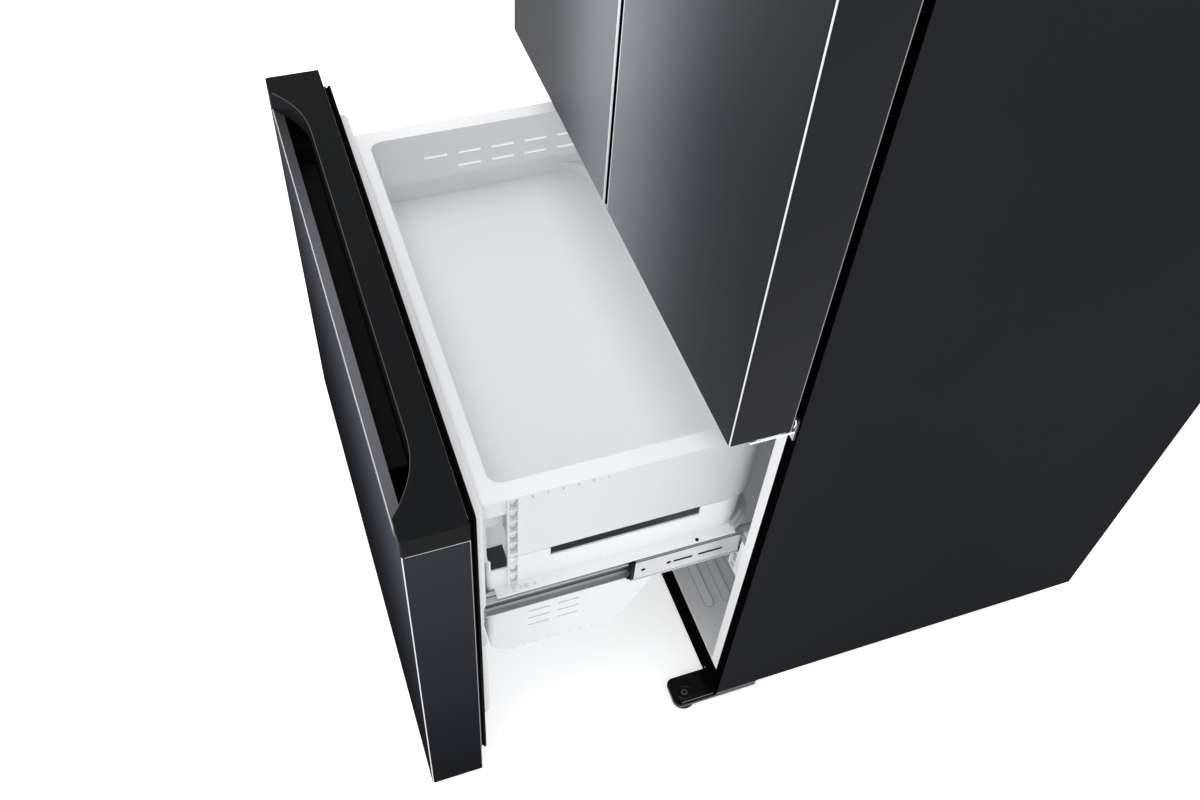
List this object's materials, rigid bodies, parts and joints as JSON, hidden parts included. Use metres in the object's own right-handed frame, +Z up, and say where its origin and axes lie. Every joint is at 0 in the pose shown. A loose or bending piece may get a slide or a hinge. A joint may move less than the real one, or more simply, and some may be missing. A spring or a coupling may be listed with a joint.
{
  "type": "bottom freezer refrigerator",
  "caption": "French-door refrigerator with a pull-out freezer drawer below, with an inner tray and a bin on telescopic rails.",
  "frame": {"origin": "on the floor, at the centre of the footprint with the drawer pulled out", "axes": "+X is the right-hand side for a person who faces the doors, the doors face -Y, +Z is up"},
  "size_m": [0.832, 1.147, 1.778],
  "materials": {
    "case_steel": "fine pebbled dark coating",
    "door_steel": "vertical fine brush, dark tint",
    "trim_black": "satin",
    "black_metal": "semi-gloss",
    "rear_steel": "plain galvanised sheet",
    "liner_white": "satin",
    "bin_white": "satin, slightly translucent",
    "gasket_black": "soft matt",
    "foam": "rigid foam, not seen",
    "rail_steel": "zinc plated",
    "zinc": "zinc plated",
    "shelf_glass": "clear",
    "crisper_clear": "clear moulded",
    "lens": "frosted",
    "coil": "plain",
    "compressor_black": "semi-gloss",
    "fan_grey": "satin",
    "foot_black": "satin",
    "duct_white": "satin"
  },
  "bodies": {
    "cabinet": {"air_duct_cover": "duct_white", "base_pan": "rear_steel", "cabinet_foam": "foam", "compressor": "compressor_black", "condenser": "coil", "crisper_cover": "duct_white", "divider_rail": "black_metal", "evaporator": "coil", "evaporator_cover": "duct_white", "fan_motors": "fan_grey", "fixed_rails": "rail_steel", "freezer_liner": "liner_white", "fridge_liner": "liner_white", "front_base_rail": "black_metal", "hinge_covers": "trim_black", "lamp_lens": "lens", "leg_brackets": "black_metal", "machine_cover": "rear_steel", "middle_hinges": "black_metal", "outer_case": "case_steel", "rail_brackets": "duct_white", "rear_panel": "rear_steel", "roller_axles": "zinc", "screws": "zinc", "shelf_frames": "duct_white", "shelf_glass": "shelf_glass", "shelf_ladders": "duct_white", "top_hinges": "black_metal"},
    "left_door": {"door_skin_left": "door_steel", "door_caps_left": "trim_black", "door_foam_left": "foam", "door_liner_left": "liner_white", "door_gasket_left": "gasket_black", "door_bins_left": "bin_white"},
    "right_door": {"door_skin_right": "door_steel", "door_caps_right": "trim_black", "door_foam_right": "foam", "door_liner_right": "liner_white", "door_gasket_right": "gasket_black", "door_bins_right": "bin_white"},
    "mullion": {"mullion_flap": "trim_black"},
    "drawer": {"drawer_skin": "door_steel", "drawer_trim": "trim_black", "drawer_foam": "foam", "drawer_liner": "liner_white", "drawer_gasket": "gasket_black", "rail_inner_left": "rail_steel", "rail_inner_right": "rail_steel", "lower_bin": "bin_white"},
    "tray": {"upper_tray": "bin_white"},
    "rail_mid_left": {"rail_middle_left": "rail_steel"},
    "rail_mid_right": {"rail_middle_right": "rail_steel"},
    "crisper_body_left": {"crisper_left": "crisper_clear"},
    "crisper_body_right": {"crisper_right": "crisper_clear"},
    "foot_left": {"leveling_foot_left": "foot_black"},
    "foot_right": {"leveling_foot_right": "foot_black"},
    "roller_body_left": {"roller_left": "foot_black"},
    "roller_body_right": {"roller_right": "foot_black"},
    "evaporator_fan_body": {"evaporator_fan": "fan_grey"},
    "condenser_fan_body": {"condenser_fan": "fan_grey"}
  },
  "joints": [
    {"name": "right_door_hinge", "type": "hinge", "parent": "cabinet", "child": "right_door", "pos_m": [0.402, -0.1515, 1.24], "axis": [0, 0, 1], "range_deg": [0, 125]},
    {"name": "left_door_hinge", "type": "hinge", "parent": "cabinet", "child": "left_door", "pos_m": [-0.402, -0.1515, 1.24], "axis": [0, 0, -1], "range_deg": [0, 125]},
    {"name": "mullion_hinge", "type": "hinge", "parent": "left_door", "child": "mullion", "pos_m": [-0.042, -0.0955, 1.24], "axis": [0, 0, -1], "range_deg": [0, 90]},
    {"name": "drawer_slide", "type": "slide", "parent": "cabinet", "child": "drawer", "axis": [0, -1, 0], "range_m": [-0.38, 0.04]},
    {"name": "rail_slide_left", "type": "slide", "parent": "cabinet", "child": "rail_mid_left", "axis": [0, -1, 0], "range_m": [-0.19, 0.02]},
    {"name": "rail_slide_right", "type": "slide", "parent": "cabinet", "child": "rail_mid_right", "axis": [0, -1, 0], "range_m": [-0.19, 0.02]},
    {"name": "tray_slide", "type": "slide", "parent": "drawer", "child": "tray", "axis": [0, 1, 0], "range_m": [0, 0.2]},
    {"name": "crisper_slide_left", "type": "slide", "parent": "cabinet", "child": "crisper_body_left", "axis": [0, -1, 0], "range_m": [0, 0.1]},
    {"name": "crisper_slide_right", "type": "slide", "parent": "cabinet", "child": "crisper_body_right", "axis": [0, -1, 0], "range_m": [0, 0.1]},
    {"name": "foot_screw_left", "type": "hinge", "parent": "cabinet", "child": "foot_left", "pos_m": [-0.396, -0.1515, 0.01], "axis": [0, 0, 1], "continuous": true},
    {"name": "foot_screw_right", "type": "hinge", "parent": "cabinet", "child": "foot_right", "pos_m": [0.396, -0.1515, 0.01], "axis": [0, 0, 1], "continuous": true},
    {"name": "roller_spin_left", "type": "hinge", "parent": "cabinet", "child": "roller_body_left", "pos_m": [-0.34, 0.5035, 0.02], "axis": [1, 0, 0], "continuous": true},
    {"name": "roller_spin_right", "type": "hinge", "parent": "cabinet", "child": "roller_body_right", "pos_m": [0.34, 0.5035, 0.02], "axis": [1, 0, 0], "continuous": true},
    {"name": "evaporator_fan_spin", "type": "hinge", "parent": "cabinet", "child": "evaporator_fan_body", "pos_m": [0, 0.4175, 0.56], "axis": [0, 1, 0], "continuous": true},
    {"name": "condenser_fan_spin", "type": "hinge", "parent": "cabinet", "child": "condenser_fan_body", "pos_m": [0.02, 0.451, 0.15], "axis": [0, 1, 0], "continuous": true}
  ],
  "couplings": [
    {"joint": "rail_slide_left", "follows": "drawer_slide", "ratio": 0.5},
    {"joint": "rail_slide_right", "follows": "drawer_slide", "ratio": 0.5}
  ]
}
